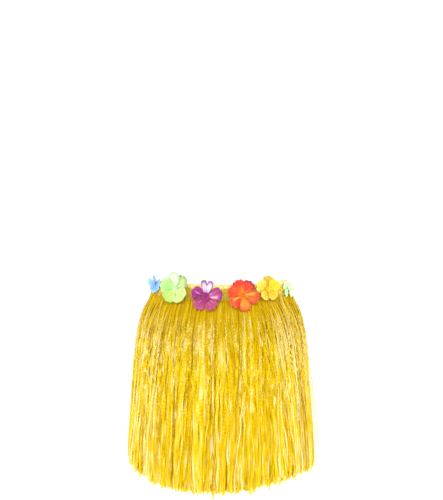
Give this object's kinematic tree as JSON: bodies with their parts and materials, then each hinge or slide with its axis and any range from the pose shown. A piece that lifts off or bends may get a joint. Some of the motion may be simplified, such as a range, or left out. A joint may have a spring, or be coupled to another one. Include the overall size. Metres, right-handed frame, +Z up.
{
  "type": "grass skirt",
  "caption": "Short hula skirt: a hollow, flared raffia fringe hung from an elasticated waistband with fabric hibiscus flowers along its front.",
  "frame": {"origin": "centre of the waist ring, at the mean height of the band's middle", "axes": "+Z up out of the waist, -Y towards the front, +X towards the wearer's left"},
  "size_m": [0.3837, 0.316, 0.424],
  "materials": {
    "waistband": "ribbed elastic tape",
    "raffia": "satin ribbon",
    "blue_petals": "thin satin",
    "light_green_petals": "thin satin",
    "purple_petals": "thin satin",
    "red_orange_petals": "thin satin",
    "yellow_petals": "thin satin",
    "pale_green_petals": "thin satin"
  },
  "bodies": {
    "root": {"waistband": "waistband", "fringe": "raffia", "flower_blue": "blue_petals", "flower_light_green": "light_green_petals", "flower_purple": "purple_petals", "flower_red_orange": "red_orange_petals", "flower_yellow": "yellow_petals", "flower_pale_green": "pale_green_petals"}
  },
  "joints": []
}
